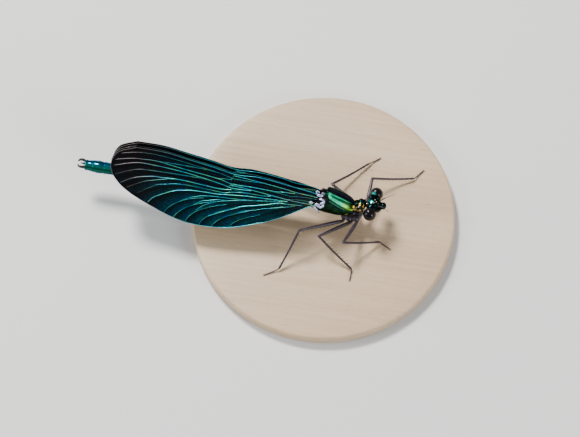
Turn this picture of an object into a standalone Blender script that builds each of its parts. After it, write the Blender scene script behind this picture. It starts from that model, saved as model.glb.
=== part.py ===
"""A male demoiselle damselfly with dark metallic wings, life size, on a plain round base.

The animal stands with its wings closed and leaning over to its right side. Sizes are in
millimetres. +X is forward, +Y the animal's left and +Z up. Heights in the animal's own
measures are taken from the top of the base, and the origin is under the middle of the base.
"""
import math

import bmesh
import bpy
from mathutils import Matrix, Vector

MM = 0.001
GAP = 0.3
BODY_SIDES = 14
SIDES = (("left", 1), ("right", -1))

# Base
BASE_RADIUS = 20.0
BASE_THICK = 2.0
BASE_EDGE = 0.4
BASE_AHEAD = 3.0
BASE_SIDES = 96

# Head: sections across it as offset, depth, height and how far ahead, all halved
HEAD_CENTRE = (4.35, 1.2, 5.2)
HEAD_YAW = -7.2
HEAD_ROLL = 7.5
EYE_RADIUS = 0.95
EYE_HEIGHT = 1.08
EYE_APART = 3.74
EYE_CUT = 0.5
HEAD_END = EYE_APART / 2 - EYE_CUT - GAP
HEAD_SECTIONS = ((-HEAD_END, 0.72, 0.74, 0.0), (-0.8, 0.82, 0.84, 0.0), (-0.4, 0.92, 0.9, 0.06),
                 (0.0, 0.96, 0.92, 0.08), (0.4, 0.92, 0.9, 0.06), (0.8, 0.82, 0.84, 0.0),
                 (HEAD_END, 0.72, 0.74, 0.0))
# Face plate from brow to jaw: height, half width and half depth
FACE_AHEAD = 1.64
FACE_SLANT = 0.25
FACE_SIDES = 12
HEAD_SQUARENESS = 2.3
FACE_SECTIONS = ((-0.05, 0.62, 0.22), (-0.3, 0.72, 0.32), (-0.75, 0.62, 0.38), (-1.15, 0.4, 0.3))
FEELER_PATH = ((1.0, 0.5, 0.92), (1.55, 0.8, 1.3), (2.2, 1.2, 1.65), (3.0, 1.75, 1.9))
FEELER_RADII = (0.25, 0.22, 0.14, 0.06)

# Prothorax: x, y and z of each section's middle, half width and half height
PROTHORAX_SECTIONS = ((3.2, 1.05, 4.85, 0.5, 0.5), (2.95, 1.0, 4.7, 0.9, 0.75), (2.5, 0.9, 4.5, 1.15, 0.95),
                      (2.15, 0.85, 4.4, 1.1, 0.95), (1.85, 0.8, 4.3, 0.95, 0.9))

# Thorax: x, top, bottom and half width, and its section as shares of half width and height
BODY_Y = 0.7
THORAX_SECTIONS = ((1.5, 5.05, 3.4, 1.0), (0.9, 5.6, 3.25, 1.45), (0.0, 6.35, 3.25, 1.75),
                   (-1.2, 7.3, 3.2, 1.95), (-2.5, 8.25, 3.15, 1.9), (-2.9, 7.4, 3.15, 1.75),
                   (-3.4, 6.4, 3.2, 1.6), (-4.4, 5.75, 3.35, 1.35), (-5.25, 5.1, 3.6, 0.95))
THORAX_HALF = ((0.0, 1.0), (0.34, 0.93), (0.66, 0.80), (0.9, 0.62), (1.0, 0.42), (0.88, 0.2), (0.55, 0.04))
# From a wing's root, the foot of its stalk lies ahead, nearer the middle and lower, and is wider
STALK_AHEAD = 1.1
STALK_NARROWS = 0.5
STALK_DROP = 1.0
STALK_WIDENS = 1.1
STALK_WAIST = 0.55

# Abdomen, sagging a little between its ends
ABDOMEN_START = (-5.55, 0.7, 4.3)
ABDOMEN_END = (-39.9, 0.7, 3.6)
ABDOMEN_SAG = 0.25
SEGMENT_LENGTHS = (0.9, 2.0, 4.9, 5.5, 5.6, 5.2, 4.5, 2.7, 1.8, 1.1)
SEGMENT_WIDTHS = (1.5, 1.45, 1.2, 1.15, 1.15, 1.25, 1.45, 1.75, 1.95, 1.6)
SEGMENT_HEIGHT = 1.04
UPPER_HOOK_PATH = ((-0.15, 0.42, 0.35), (-0.5, 0.62, 0.42), (-0.9, 0.62, 0.4), (-1.2, 0.36, 0.36))
UPPER_HOOK_RADII = (0.25, 0.25, 0.22, 0.12)
LOWER_HOOK_PATH = ((-0.15, 0.36, -0.38), (-0.5, 0.36, -0.42), (-0.85, 0.34, -0.4))
LOWER_HOOK_RADII = (0.24, 0.22, 0.12)

# Wings, measured in their own plane: along from the root, across towards the front edge
WING_LEAN = 45.0
WING_RAKE = 7.5
WING_THICK = 0.5
VEIN_HEIGHT = 0.1
WING_PITCH = WING_THICK + 2 * VEIN_HEIGHT + GAP
WING_STACK_ROOT = (-3.7, -1.143, 8.697)
WING_JOIN = 5.0
VEINS = 11
ROWS_BETWEEN = 2
STEPS_ALONG = 12
FRONT_EDGE = ((0.0, 0.45), (3.2, 0.9), (6.4, 1.0), (9.9, 0.85), (13.2, 0.4), (16.8, 0.42),
              (20.5, 0.54), (24.5, 0.57), (28.7, 0.05))
WING_TIP_EDGE = ((28.7, 0.05), (31.3, -1.6), (31.7, -4.2), (29.6, -6.5), (25.4, -8.2),
                 (18.8, -9.4), (12.5, -8.45), (7.1, -5.9))
ROOT_CHORD = 1.3
HIND_WING_SCALE = 0.96
FORE_ROOT_X = -3.5
HIND_ROOT_X = -4.9
# Place in the stack, root and size
WING_ROOTS = {
    "wing_fore_right": (0, (FORE_ROOT_X, -0.55, 8.15), 1.0),
    "wing_hind_right": (1, (HIND_ROOT_X, -0.40, 7.10), HIND_WING_SCALE),
    "wing_fore_left": (2, (FORE_ROOT_X, 1.25, 7.60), 1.0),
    "wing_hind_left": (3, (HIND_ROOT_X, 1.30, 6.60), HIND_WING_SCALE),
}

# Legs: hip on the body, end of the trochanter, knee, end of the shin, tip of the foot
LEG_POINTS = {
    "front_right": ((2.6, 0.4, 3.15), (2.25, -1.2, 2.6), (0.9, -5.4, 4.2),
                    (6.15, -2.75, 0.8), (7.75, -3.5, 0.5)),
    "front_left": ((2.6, 1.3, 3.15), (3.3, 2.8, 2.8), (3.4, 6.4, 2.8),
                   (9.55, 8.5, 0.8), (10.65, 10.05, 0.5)),
    "mid_right": ((1.55, 0.2, 2.95), (1.4, -1.1, 2.4), (-2.95, -4.75, 3.6),
                  (2.7, -7.9, 0.8), (2.7, -9.5, 0.5)),
    "mid_left": ((1.55, 1.2, 2.95), (1.3, 2.1, 2.4), (-2.5, 4.65, 2.3),
                 (2.4, 9.8, 0.8), (3.8, 10.95, 0.5)),
    "hind_right": ((0.5, 0.2, 2.95), (0.1, -1.15, 2.4), (-5.95, -4.75, 4.6),
                   (-8.2, -9.8, 0.8), (-10.1, -10.95, 0.5)),
    "hind_left": ((0.5, 1.2, 2.95), (-0.3, 2.2, 2.4), (-6.0, 2.6, 4.0),
                  (-12.3, 2.6, 0.8), (-14.3, 2.9, 0.5)),
}
HIP_DROP = 0.5
BEND_ROOM = 0.12
LEG_PIECES = ("coxa", "femur", "tibia", "tarsus")
LEG_RADII = (0.36, 0.31, 0.26, 0.25)
FOOT_TIP_RADIUS = 0.2
LEG_SIDES = 8
LEAST_BEND = 0.03
MOST_STRETCH = 1.25

# Colour, roughness and how metallic
MATERIAL_LOOKS = {
    "metallic_body": ((0.01, 0.16, 0.13, 1.0), 0.25, 0.9),
    "dark_legs": ((0.02, 0.018, 0.018, 1.0), 0.4, 0.1),
    "eyes": ((0.02, 0.01, 0.012, 1.0), 0.1, 0.0),
    "wings": ((0.005, 0.03, 0.06, 1.0), 0.35, 0.5),
    "base": ((0.75, 0.73, 0.69, 1.0), 0.5, 0.0),
}


def clear_scene():
    for obj in list(bpy.data.objects):
        bpy.data.objects.remove(obj, do_unlink=True)


def make_material(name):
    colour, roughness, metallic = MATERIAL_LOOKS[name]
    material = bpy.data.materials.new(name)
    material.use_nodes = True
    shader = material.node_tree.nodes["Principled BSDF"]
    shader.inputs["Base Color"].default_value = colour
    shader.inputs["Roughness"].default_value = roughness
    shader.inputs["Metallic"].default_value = metallic
    return material


def to_world(point):
    """A point in the animal's millimetres, in metres from under the base's middle."""
    shift = Vector((BASE_AHEAD, 0.0, BASE_THICK))
    return (Vector(point) + shift) * MM


def add_object(name, bm, material):
    bmesh.ops.recalc_face_normals(bm, faces=bm.faces)
    mesh = bpy.data.meshes.new(name)
    bm.to_mesh(mesh)
    bm.free()
    mesh.materials.append(material)
    mesh.shade_smooth()
    mesh.set_sharp_from_angle(angle=math.radians(40))
    obj = bpy.data.objects.new(name, mesh)
    parts.objects.link(obj)
    return obj


def oval(centre, side, up, half_side, half_up, sides, squareness=2.0):
    """Points round an oval, or a rounder or squarer one, in the plane of side and up."""
    points = []
    power = 2.0 / squareness
    for index in range(sides):
        angle = 2 * math.pi * (index + 0.5) / sides
        across, high = math.cos(angle), math.sin(angle)
        across = math.copysign(abs(across) ** power, across)
        high = math.copysign(abs(high) ** power, high)
        points.append(Vector(centre) + Vector(side) * across * half_side + Vector(up) * high * half_up)
    return points


def loft(name, rings, material):
    """One closed body through rings of as many points each."""
    bm = bmesh.new()
    rows = [[bm.verts.new(to_world(point)) for point in ring] for ring in rings]
    count = len(rings[0])
    for near, far in zip(rows, rows[1:]):
        for index in range(count):
            following = (index + 1) % count
            bm.faces.new((near[index], near[following], far[following], far[index]))
    bm.faces.new(rows[0])
    bm.faces.new(rows[-1])
    return add_object(name, bm, material)


def across_axes(direction):
    """Two directions square to a given one, the first as level as can be."""
    level = Vector((0, 0, 1)).cross(direction)
    if level.length < 0.01:
        level = Vector((0, 1, 0))
    level.normalize()
    return level, direction.cross(level).normalized()


def turned_axes(along, old_side):
    """Axes square to a direction, turned as little as can be from an earlier side."""
    side = old_side - along * old_side.dot(along)
    side.normalize()
    return side, along.cross(side).normalized()


def limb(name, points, radii, material, floor=None):
    """A tube through points, each ring turned as little as can be from the one before."""
    spots = [Vector(point) for point in points]
    ways = [(b - a).normalized() for a, b in zip(spots, spots[1:])]
    side, up = across_axes(ways[0])
    rings = [oval(spots[0], side, up, radii[0], radii[0], LEG_SIDES)]
    for index in range(1, len(spots) - 1):
        before, after = ways[index - 1], ways[index]
        along = (before + after).normalized()
        half = before.angle(after) / 2
        side, up = turned_axes(along, side)
        ring = []
        inward = after - before
        bends = inward.length > LEAST_BEND
        inward.normalize()
        for spot in oval((0, 0, 0), side, up, radii[index], radii[index], LEG_SIDES):
            if bends:
                depth = spot.dot(inward)
                stretch = 1 / math.cos(half)
                if depth < 0:
                    stretch = min(stretch, MOST_STRETCH)
                spot = spot + inward * depth * (stretch - 1)
            ring.append(spots[index] + spot)
        rings.append(ring)
    side, up = turned_axes(ways[-1], side)
    rings.append(oval(spots[-1], side, up, radii[-1], radii[-1], LEG_SIDES))
    if floor is not None:
        rings = [[Vector((p.x, p.y, max(p.z, floor))) for p in ring] for ring in rings]
    return loft(name, rings, material)


def fuse(name, pieces, material):
    """One closed body from several, with the largest surface kept."""
    group = bpy.data.collections.new(name + "_pieces")
    target = pieces[0]
    for piece in pieces[1:]:
        parts.objects.unlink(piece)
        group.objects.link(piece)
    union = target.modifiers.new("union", "BOOLEAN")
    union.operation = "UNION"
    union.operand_type = "COLLECTION"
    union.collection = group
    union.solver = "EXACT"
    depsgraph = bpy.context.evaluated_depsgraph_get()
    mesh = bpy.data.meshes.new_from_object(target.evaluated_get(depsgraph))
    for piece in pieces:
        bpy.data.objects.remove(piece, do_unlink=True)
    bpy.data.collections.remove(group)
    bm = bmesh.new()
    bm.from_mesh(mesh)
    keep_largest(bm)
    return add_object(name, bm, material)


def keep_largest(bm):
    """Deletes all but the largest of the closed surfaces."""
    unseen = set(bm.faces)
    shells = []
    while unseen:
        stack = [unseen.pop()]
        shell = []
        while stack:
            face = stack.pop()
            shell.append(face)
            for edge in face.edges:
                for other in edge.link_faces:
                    if other in unseen:
                        unseen.remove(other)
                        stack.append(other)
        shells.append(shell)
    shells.sort(key=lambda shell: sum(face.calc_area() for face in shell))
    for shell in shells[:-1]:
        bmesh.ops.delete(bm, geom=shell, context="FACES")


def make_base(material):
    bpy.ops.mesh.primitive_cylinder_add(vertices=BASE_SIDES, radius=BASE_RADIUS * MM, depth=BASE_THICK * MM,
                                        location=(0, 0, BASE_THICK * MM / 2))
    base = bpy.context.object
    base.name = "stand_base"
    base.data.materials.append(material)
    edge = base.modifiers.new("edge", "BEVEL")
    edge.width = BASE_EDGE * MM
    edge.segments = 2
    edge.limit_method = "ANGLE"
    for collection in list(base.users_collection):
        collection.objects.unlink(base)
    parts.objects.link(base)


def head_frame():
    yaw = Matrix.Rotation(math.radians(HEAD_YAW), 4, "Z")
    roll = Matrix.Rotation(math.radians(-HEAD_ROLL), 4, "X")
    return Matrix.Translation(Vector(HEAD_CENTRE)) @ yaw @ roll


def mirrored(path, sign):
    return [(point[0], sign * point[1], point[2]) for point in path]


def make_eye(name, sign, frame, material):
    """A globe, taller than wide, with a flat inner side against the head."""
    bm = bmesh.new()
    bmesh.ops.create_uvsphere(bm, u_segments=20, v_segments=12, radius=EYE_RADIUS)
    bmesh.ops.transform(bm, matrix=Matrix.Rotation(math.radians(90), 4, "X"), verts=bm.verts)
    bmesh.ops.scale(bm, vec=(1.0, 1.0, EYE_HEIGHT), verts=bm.verts)
    cut = bmesh.ops.bisect_plane(bm, geom=list(bm.verts) + list(bm.edges) + list(bm.faces),
                                 plane_co=(0, -sign * EYE_CUT, 0), plane_no=(0, -sign, 0), clear_outer=True)
    rim = [item for item in cut["geom_cut"] if isinstance(item, bmesh.types.BMEdge)]
    bmesh.ops.holes_fill(bm, edges=rim)
    placed = frame @ Matrix.Translation((0, sign * EYE_APART / 2, 0))
    bmesh.ops.transform(bm, matrix=placed, verts=bm.verts)
    for vert in bm.verts:
        vert.co = to_world(vert.co)
    add_object(name, bm, material)


def make_head(body, eye):
    """A head wider than long: a lofted middle between two globe eyes, a face plate and feelers."""
    frame = head_frame()
    axes = frame.to_3x3()
    forward, left, up = (axes @ Vector(axis) for axis in ((1, 0, 0), (0, 1, 0), (0, 0, 1)))
    rings = []
    for offset, deep, high, ahead in HEAD_SECTIONS:
        centre = frame @ Vector((ahead, offset, 0.0))
        rings.append(oval(centre, forward, up, deep, high, BODY_SIDES, HEAD_SQUARENESS))
    loft("head", rings, body)
    for side, sign in SIDES:
        make_eye("eye_" + side, sign, frame, eye)
    rings = []
    for height, wide, deep in FACE_SECTIONS:
        centre = frame @ Vector((FACE_AHEAD + FACE_SLANT * height, 0.0, height))
        rings.append(oval(centre, left, forward, wide, deep, FACE_SIDES, HEAD_SQUARENESS))
    loft("mouthparts", rings, body)
    for side, sign in SIDES:
        path = [frame @ Vector(point) for point in mirrored(FEELER_PATH, sign)]
        limb("antenna_" + side, path, FEELER_RADII, body)


def make_prothorax(body):
    rings = []
    for x, y, z, wide, tall in PROTHORAX_SECTIONS:
        rings.append(oval((x, y, z), (0, 1, 0), (0, 0, 1), wide, tall, BODY_SIDES, 2.2))
    loft("prothorax", rings, body)


def thorax_ring(place, top, bottom, half_width):
    """A section across the thorax: a roof over the back, upright sides and a narrow keel."""
    height = top - bottom
    right = [(BODY_Y - half_width * side, bottom + height * rise) for side, rise in THORAX_HALF]
    left = [(BODY_Y + half_width * side, bottom + height * rise) for side, rise in reversed(THORAX_HALF[1:])]
    return [Vector((place, y, z)) for y, z in right + left]


def make_thorax(body):
    """The skewed thorax with four short stalks that carry the wings."""
    thorax = loft("thorax_body", [thorax_ring(*section) for section in THORAX_SECTIONS], body)
    pieces = [thorax]
    for name, (level, root, scale) in WING_ROOTS.items():
        foot_y = BODY_Y + (root[1] - BODY_Y) * STALK_NARROWS
        foot = Vector((root[0] + STALK_AHEAD, foot_y, root[2] - STALK_DROP))
        end = wing_section(level, root, scale)
        middle = sum(end, Vector()) / len(end)
        start = [foot + (point - middle) * STALK_WIDENS for point in end]
        between = [a.lerp(b, STALK_WAIST) for a, b in zip(start, end)]
        pieces.append(loft(name + "_stalk", [start, between, end], body))
    fuse("thorax", pieces, body)


def bezier(points, t):
    a, b, c, d = points
    s = 1 - t
    return a * s ** 3 + b * 3 * s * s * t + c * 3 * s * t * t + d * t ** 3


def smooth_path(points, t):
    """A point on a smooth curve through given points, at a share t of its spans."""
    spans = len(points) - 1
    span = min(int(t * spans), spans - 1)
    u = t * spans - span
    p1, p2 = points[span], points[span + 1]
    p0 = points[span - 1] if span else p1 * 2 - p2
    p3 = points[span + 2] if span + 2 <= spans else p2 * 2 - p1
    return ((p1 * 2) + (p2 - p0) * u + (p0 * 2 - p1 * 5 + p2 * 4 - p3) * u * u
            + (p1 * 3 - p0 - p2 * 3 + p3) * u ** 3) / 2


def wing_row_point(share, t):
    """A point at a share t along the row at a share from front edge, 0, to rear edge, 1."""
    if share == 0:
        return smooth_path([Vector(point) for point in FRONT_EDGE], t)
    start = Vector((0.0, FRONT_EDGE[0][1] - ROOT_CHORD * share))
    end = smooth_path([Vector(point) for point in WING_TIP_EDGE], share)
    bend = math.sin(math.pi * share) ** 0.5
    first = start.lerp(end, 1 / 3).lerp(Vector((0.45 * end.x, start.y - 0.1 - 1.3 * share)), bend)
    second = start.lerp(end, 2 / 3).lerp(Vector((0.93 * end.x, 0.5 * end.y)), bend)
    return bezier((start, first, second, end), t)


def wing_point(level, root, scale, along, across, height):
    """A point of a wing, from its own plane to the animal's."""
    lean = math.radians(WING_LEAN)
    rake = math.radians(WING_RAKE)
    chord = Vector((0, math.cos(lean), math.sin(lean)))
    face = Vector((0, -math.sin(lean), math.cos(lean)))
    stack_root = Vector(WING_STACK_ROOT) - face * WING_PITCH * level
    stack_root.x = root[0]
    share = min(max(along / WING_JOIN, 0.0), 1.0)
    blend = share * share * (3 - 2 * share)
    base = Vector(root).lerp(stack_root, blend)
    back = (along * math.cos(rake) - across * math.sin(rake)) * scale
    up_chord = (along * math.sin(rake) + across * math.cos(rake)) * scale
    return base + Vector((-1, 0, 0)) * back + chord * up_chord + face * height


def wing_section(level, root, scale):
    """The outline of a wing's root, a gap ahead of it, for the stalk that meets it."""
    half = WING_THICK / 2
    top, low = FRONT_EDGE[0][1], FRONT_EDGE[0][1] - ROOT_CHORD
    corners = ((top, half), (low, half), (low, -half), (top, -half))
    section = [wing_point(level, root, scale, 0.0, across, height) for across, height in corners]
    face_x = max(point.x for point in section) + GAP
    return [Vector((face_x, point.y, point.z)) for point in section]


def make_wing(name, material):
    """A wing of two like faces, whose rows run from root to rim, with the veins as raised rows."""
    level, root, scale = WING_ROOTS[name]
    rows = (VEINS - 1) * (ROWS_BETWEEN + 1) + 1
    bm = bmesh.new()
    faces = []
    for sign in (1, -1):
        grid = []
        for row in range(rows):
            vein = row % (ROWS_BETWEEN + 1) == 0
            line = []
            for step in range(STEPS_ALONG + 1):
                spot = wing_row_point(row / (rows - 1), step / STEPS_ALONG)
                rise = VEIN_HEIGHT if vein and 0 < step < STEPS_ALONG and 0 < row < rows - 1 else 0.0
                height = sign * (WING_THICK / 2 + rise)
                line.append(bm.verts.new(to_world(wing_point(level, root, scale, spot.x, spot.y, height))))
            grid.append(line)
        faces.append(grid)
    top, low = faces
    for row in range(rows - 1):
        for step in range(STEPS_ALONG):
            for grid in faces:
                a, b = grid[row][step], grid[row][step + 1]
                c, d = grid[row + 1][step + 1], grid[row + 1][step]
                bm.faces.new((a, b, c))
                bm.faces.new((a, c, d))
    rim = [(row, 0) for row in range(rows)]
    rim += [(rows - 1, step) for step in range(1, STEPS_ALONG + 1)]
    rim += [(row, STEPS_ALONG) for row in range(rows - 2, -1, -1)]
    rim += [(0, step) for step in range(STEPS_ALONG - 1, 0, -1)]
    for here, there in zip(rim, rim[1:] + rim[:1]):
        a, b = top[here[0]][here[1]], top[there[0]][there[1]]
        c, d = low[there[0]][there[1]], low[here[0]][here[1]]
        bm.faces.new((a, b, c))
        bm.faces.new((a, c, d))
    add_object(name, bm, material)


def abdomen_point(share):
    point = Vector(ABDOMEN_START).lerp(Vector(ABDOMEN_END), share)
    point.z -= ABDOMEN_SAG * math.sin(math.pi * share)
    return point


def make_abdomen(body):
    """Ten segments in a row, each meeting its neighbours at the mean of their widths."""
    total = sum(SEGMENT_LENGTHS)
    reach = 0.0
    for number, (length, width) in enumerate(zip(SEGMENT_LENGTHS, SEGMENT_WIDTHS), start=1):
        last = SEGMENT_WIDTHS[min(number, len(SEGMENT_WIDTHS) - 1)]
        first = SEGMENT_WIDTHS[max(number - 2, 0)]
        begin = (reach + GAP / 2) / total
        finish = (reach + length - GAP / 2) / total
        rings = []
        for share, size in ((0.0, (first + width) / 2 * 0.94), (0.12, (first + width * 2) / 3),
                            (0.5, width), (0.88, (last + width * 2) / 3), (1.0, (last + width) / 2 * 0.98)):
            centre = abdomen_point(begin + (finish - begin) * share)
            rings.append(oval(centre, (0, 1, 0), (0, 0, 1), size / 2, size / 2 * SEGMENT_HEIGHT, BODY_SIDES))
        loft("abdomen_%d" % number, rings, body)
        reach += length


def make_tail_hooks(material):
    """The upper pair curves in like pincers, the lower pair is short."""
    tip = abdomen_point(1.0)
    for pair, path, radii in (("cercus", UPPER_HOOK_PATH, UPPER_HOOK_RADII),
                              ("paraproct", LOWER_HOOK_PATH, LOWER_HOOK_RADII)):
        for side, sign in SIDES:
            points = [tip + Vector(step) for step in mirrored(path, sign)]
            limb("%s_%s" % (pair, side), points, radii, material)


def make_leg(name, material):
    """Four pieces; each bends at its far joint and ends square to the piece that follows."""
    points = [Vector(point) for point in LEG_POINTS[name]]
    ways = [(b - a).normalized() for a, b in zip(points, points[1:])]
    start = points[0]
    for index, piece in enumerate(LEG_PIECES):
        radius = LEG_RADII[index]
        after = LEG_RADII[min(index + 1, 3)]
        if index < 3:
            turn = ways[index].angle(ways[index + 1])
            end = points[index + 1] + ways[index + 1] * (after * math.tan(turn / 2) + BEND_ROOM)
            corner = points[index + 1]
            middle = start + Vector((0, 0, -HIP_DROP)) if index == 0 else start.lerp(corner, 0.5)
            path = [start, middle, corner, end]
            sizes = [radius, radius, (radius + after) / 2, after]
            limb("leg_%s_%s" % (name, piece), path, sizes, material)
            start = end + ways[index + 1] * GAP
        else:
            path = [start, start.lerp(points[4], 0.5), points[4]]
            limb("leg_%s_%s" % (name, piece), path, [radius, radius, FOOT_TIP_RADIUS], material, GAP)


clear_scene()
parts = bpy.data.collections.new("damselfly")
bpy.context.scene.collection.children.link(parts)
looks = {name: make_material(name) for name in MATERIAL_LOOKS}

make_base(looks["base"])
make_head(looks["metallic_body"], looks["eyes"])
make_prothorax(looks["metallic_body"])
make_thorax(looks["metallic_body"])
make_abdomen(looks["metallic_body"])
make_tail_hooks(looks["dark_legs"])
for wing in WING_ROOTS:
    make_wing(wing, looks["wings"])
for leg in LEG_POINTS:
    make_leg(leg, looks["dark_legs"])
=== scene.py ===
"""The looks of a life-size demoiselle damselfly on its display base.

Sizes are in millimetres, as in the animal's own measures: +X forward, +Y to its left and +Z up
from the top of the base. at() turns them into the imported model's metres.
"""
import math
import random

import bpy
import numpy as np
from mathutils import Matrix, Vector


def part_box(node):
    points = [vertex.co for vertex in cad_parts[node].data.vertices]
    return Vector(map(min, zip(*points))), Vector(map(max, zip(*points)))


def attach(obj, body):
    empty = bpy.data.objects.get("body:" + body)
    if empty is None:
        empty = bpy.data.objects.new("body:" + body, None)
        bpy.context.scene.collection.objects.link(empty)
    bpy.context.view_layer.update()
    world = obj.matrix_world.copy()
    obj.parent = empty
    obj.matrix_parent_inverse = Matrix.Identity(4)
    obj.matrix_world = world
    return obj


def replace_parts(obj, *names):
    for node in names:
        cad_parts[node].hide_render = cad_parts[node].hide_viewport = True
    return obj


MM = 0.001
AXES = ((1, 0, 0), (0, 1, 0), (0, 0, 1))
UP = Vector((0, 0, 1))
SIDES = (("left", 1), ("right", -1))
# One form in the middle, or one on each side
ONE = (1,)
PAIR = (1, -1)

BASE_AHEAD = 3.0
BASE_RADIUS = 20.0
BASE_EDGE = 0.4
BASE_GROOVE = 0.12
GROOVE_SHARE = 0.45
BASE_SIDES = 180

# The body's middle plane, and the head's place in it
BODY_Y = 0.7
HEAD_CENTRE = (4.35, 1.2, 5.2)
HEAD_YAW = -7.2
HEAD_ROLL = 7.5
EYE_RADIUS = 0.95
EYE_APART = 3.74
EYE_SIZES = (EYE_RADIUS * 1.05, EYE_RADIUS * 1.08, EYE_RADIUS * 1.05)
# Sections across the head, in its own frame: offset to the left, half depth, half height, ahead and up
HEAD_STATIONS = (
    (-1.34, 0.60, 0.72, -0.05, 0.0), (-1.2, 0.72, 0.80, -0.03, 0.0), (-0.9, 0.80, 0.84, 0.02, 0.02),
    (-0.5, 0.9, 0.86, 0.08, 0.03), (0.0, 0.96, 0.9, 0.1, 0.04), (0.5, 0.9, 0.86, 0.08, 0.03),
    (0.9, 0.80, 0.84, 0.02, 0.02), (1.2, 0.72, 0.80, -0.03, 0.0), (1.34, 0.60, 0.72, -0.05, 0.0))
# Rounded forms on it: one or a pair, centre, half sizes ahead, up and across, and how finely divided
BROW_BALLS = (
    (PAIR, (0.62, 0.62, 0.62), (0.36, 0.3, 0.3), (20, 12)),
    (ONE, (0.86, 0.0, 0.36), (0.34, 0.42, 0.62), (28, 16)),
    (ONE, (0.2, 0.0, 0.84), (0.42, 0.14, 0.52), (24, 12)),
    (PAIR, (-0.45, 0.62, 0.72), (0.34, 0.22, 0.4), (20, 12)),
)
FACE_BALLS = (
    (ONE, (1.12, 0.0, -0.02), (0.26, 0.22, 0.78), (28, 16)),
    (ONE, (1.55, 0.22, -0.1), (0.5, 0.5, 0.58), (32, 20)),
    (ONE, (1.2, 0.0, -0.34), (0.24, 0.16, 0.62), (28, 16)),
    (ONE, (1.16, 0.0, -0.66), (0.26, 0.24, 0.56), (28, 16)),
)
JAW_BALLS = (
    (PAIR, (0.85, 0.62, -0.62), (0.36, 0.34, 0.2), (20, 12)),
    (PAIR, (0.72, 0.26, -0.98), (0.46, 0.22, 0.26), (20, 12)),
    (ONE, (0.25, 0.0, -0.92), (0.62, 0.24, 0.6), (24, 12)),
)
# The same for the ocelli, with half sizes ahead, across and up
OCELLI = (
    (ONE, (0.5, 0.0, 0.97), (0.075, 0.075, 0.07), (16, 10)),
    (PAIR, (0.2, 0.26, 0.97), (0.075, 0.075, 0.07), (16, 10)),
)
# The left antenna
FEELER_FOOT = (0.86, 0.52, 0.62)
FEELER_PATH = ((0.92, 0.52, 0.68), (1.2, 0.62, 0.95), (1.52, 0.78, 1.22), (1.58, 0.81, 1.27),
               (1.9, 1.0, 1.45), (2.4, 1.3, 1.68), (3.0, 1.72, 1.88))
FEELER_RADII = (0.1, 0.085, 0.095, 0.055, 0.045, 0.034, 0.015)

# Prothorax: x, y and z of each section's middle, half width and half height
PROTHORAX_STATIONS = (
    (3.75, 1.12, 5.02, 0.34, 0.36), (3.35, 1.06, 4.92, 0.36, 0.38), (3.15, 1.03, 4.84, 0.84, 0.66),
    (3.02, 1.0, 4.78, 0.98, 0.78), (2.86, 0.97, 4.7, 0.88, 0.7), (2.7, 0.94, 4.62, 1.04, 0.86),
    (2.45, 0.9, 4.52, 1.13, 0.96), (2.18, 0.86, 4.42, 1.08, 0.95), (2.05, 0.84, 4.38, 0.92, 0.84),
    (1.92, 0.82, 4.36, 0.96, 0.98), (1.72, 0.78, 4.34, 0.95, 0.96), (1.35, 0.74, 4.3, 0.8, 0.8))

# Thorax: x, top, bottom and half width of each section, and one side of a section from top to bottom,
# as shares of its half width and height
THORAX_STATIONS = (
    (1.5, 5.05, 3.4, 1.0), (0.9, 5.6, 3.25, 1.45), (0.0, 6.35, 3.25, 1.75), (-1.2, 7.3, 3.2, 1.95),
    (-2.5, 8.25, 3.15, 1.9), (-2.9, 7.4, 3.15, 1.75), (-3.4, 6.4, 3.2, 1.6), (-4.4, 5.75, 3.35, 1.35),
    (-5.25, 5.1, 3.6, 0.95))
THORAX_HALF = ((0.0, 1.0), (0.34, 0.93), (0.66, 0.80), (0.9, 0.62), (1.0, 0.42), (0.88, 0.2), (0.55, 0.04),
               (0.0, 0.0))
# The ridge's first x and height and its slope; the sutures run along it, so far below it
RIDGE_START = (1.5, 5.05)
RIDGE_END_X = -2.7
THORAX_SLOPE = math.radians(39.1)
SUTURES = (0.46, 1.9, 3.2)
RIDGE_HEIGHT = 0.07
RIDGE_WIDTH = 0.022
SUTURE_DEPTH = 0.05
SUTURE_WIDTH = 0.055
# A fine lip below each suture
LIP_BELOW = 0.12
LIP_HEIGHT = 0.015
LIP_WIDTH = 0.06
# Lumps under the hips: centre and half sizes
HIP_LUMPS = (
    ((2.35, 0.8, 3.35), (0.62, 0.95, 0.42)), ((1.4, 0.6, 3.25), (0.62, 0.95, 0.42)),
    ((0.4, 0.6, 3.2), (0.62, 0.95, 0.42)), ((2.0, -0.45, 2.85), (0.6, 0.7, 0.42)),
    ((1.0, -0.5, 2.75), (0.6, 0.7, 0.42)), ((0.3, -0.35, 2.8), (0.6, 0.7, 0.42)))
# Pale plates, partly a painted highlight: the wing, places along and across its plane, half length and half
# width
PLATE_SPOTS = (
    ("wing_fore_left", 0.41, -0.96, 0.4, 0.24), ("wing_fore_left", -0.49, -0.45, 0.42, 0.28),
    ("wing_fore_left", 0.5, -0.3, 0.34, 0.2), ("wing_fore_left", -0.5, -0.02, 0.4, 0.2),
    ("wing_fore_right", 0.1, 0.5, 0.46, 0.22), ("wing_fore_right", 1.15, -0.95, 0.3, 0.2),
    ("wing_fore_right", 0.12, -1.05, 0.42, 0.24))
PLATE_CURL = ((0.1, -0.07), (-0.46, -0.07), (-0.72, -0.41), (-0.37, -0.66), (-0.75, -0.88), (-0.46, -1.3),
              (0.1, -1.27))
CURL_STEPS = 30
# A pale bar down the thorax's side, a painted highlight
SIDE_BAR = ((-4.55, -0.72, 5.65), (-4.2, -0.9, 5.1), (-3.85, -1.03, 4.6), (-3.55, -1.1, 4.15))

# Spots of colour, in the animal's measures; the head's and the left eye's are painted reflections
HEAD_REFLECTION_SPOT = (3.95, 1.25, 6.0)
EYE_REFLECTION_SPOT = (4.07, 2.42, 5.97)
GOLD_SPOT = (0.62, -0.86, 4.35)

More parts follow.
